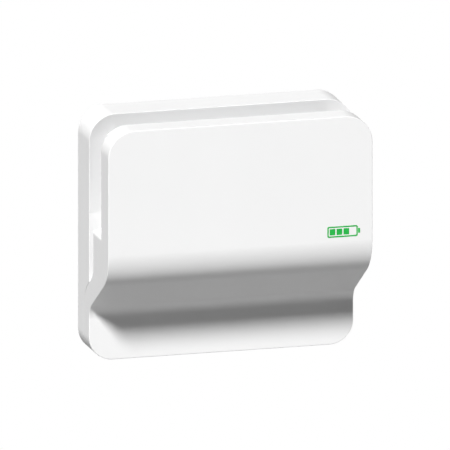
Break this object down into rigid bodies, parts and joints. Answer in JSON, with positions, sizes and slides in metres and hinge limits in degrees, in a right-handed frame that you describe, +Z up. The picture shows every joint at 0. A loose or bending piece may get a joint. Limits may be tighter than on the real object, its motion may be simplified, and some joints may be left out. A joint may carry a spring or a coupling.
{
  "type": "wall battery unit",
  "caption": "White wall-hung battery housing with a groove round its top and sides, a front that curves back to a thin lower part, and cells and switch gear behind a lift-off cover.",
  "frame": {"origin": "middle of the flat wall face, on the back of the wall bracket", "axes": "+Y into the wall, -Y out of the front, +X along the width, +Z up"},
  "size_m": [0.33, 0.1382, 0.305],
  "materials": {
    "casing": "satin white moulded plastic, very fine grain",
    "inner_frame": "satin off-white moulded plastic",
    "seal": "matt black elastomer",
    "bracket_steel": "zinc-plated sheet steel",
    "mark": "green pad print",
    "screw_steel": "zinc-plated steel",
    "tray_steel": "galvanised sheet steel",
    "cell_sleeve": "aluminium can in a blue film sleeve",
    "copper": "tinned and bare copper strap",
    "circuit_board": "green solder resist on glass-fibre board",
    "heatsink_alloy": "clear anodised extrusion",
    "dark_plastic": "black moulded plastic",
    "device_plastic": "light grey moulded plastic",
    "toggle_red": "red moulded plastic",
    "fuse_ceramic": "cream ceramic with plated blades",
    "cable_red": "red silicone insulation",
    "cable_black": "black silicone insulation",
    "ribbon": "grey flat cable",
    "button_white": "satin white moulded plastic"
  },
  "bodies": {
    "base": {"rear_housing": "casing", "neck_frame": "inner_frame", "neck_gasket": "seal", "grommet_positive": "seal", "grommet_negative": "seal", "breather_vent": "seal", "wall_bracket": "bracket_steel", "tray_screw_1": "screw_steel", "tray_screw_2": "screw_steel", "tray_screw_3": "screw_steel", "tray_screw_4": "screw_steel", "terminal_screw_1": "screw_steel", "terminal_screw_2": "screw_steel", "cell_tray": "tray_steel", "cell_clamp": "tray_steel", "bay_rail": "tray_steel", "cell_1": "cell_sleeve", "cell_2": "cell_sleeve", "cell_3": "cell_sleeve", "cell_4": "cell_sleeve", "cell_5": "cell_sleeve", "cell_6": "cell_sleeve", "cell_7": "cell_sleeve", "cell_8": "cell_sleeve", "busbar_1": "copper", "busbar_2": "copper", "busbar_3": "copper", "busbar_4": "copper", "busbar_5": "copper", "busbar_6": "copper", "busbar_7": "copper", "negative_tap": "copper", "positive_tap": "copper", "link_bar": "copper", "sense_board": "circuit_board", "bms_board": "circuit_board", "bms_heatsink": "heatsink_alloy", "bms_relay": "dark_plastic", "bms_terminals": "dark_plastic", "fuse_holder": "dark_plastic", "button_bezel": "dark_plastic", "data_port": "dark_plastic", "sense_socket": "device_plastic", "isolator_body": "device_plastic", "terminal_block": "device_plastic", "fuse_link": "fuse_ceramic", "positive_cable": "cable_red", "fuse_lead": "cable_red", "negative_cable": "cable_black", "pack_lead": "cable_black", "sense_lead": "ribbon"},
    "cover": {"front_cover": "casing", "badge": "mark", "cover_screw_1": "screw_steel", "cover_screw_2": "screw_steel"},
    "toggle": {"isolator_toggle": "toggle_red"},
    "button": {"power_button": "button_white"}
  },
  "joints": [
    {"name": "cover_lift", "type": "slide", "parent": "base", "child": "cover", "axis": [0, -1, 0], "range_m": [0, 0.125]},
    {"name": "isolator_switch", "type": "hinge", "parent": "base", "child": "toggle", "pos_m": [0.022, -0.049, -0.0595], "axis": [1, 0, 0], "range_deg": [0, 70]},
    {"name": "button_press", "type": "slide", "parent": "base", "child": "button", "axis": [0, 0, 1], "range_m": [0, 0.002], "stiffness_N_per_m": 500, "springref_m": -0.001}
  ]
}
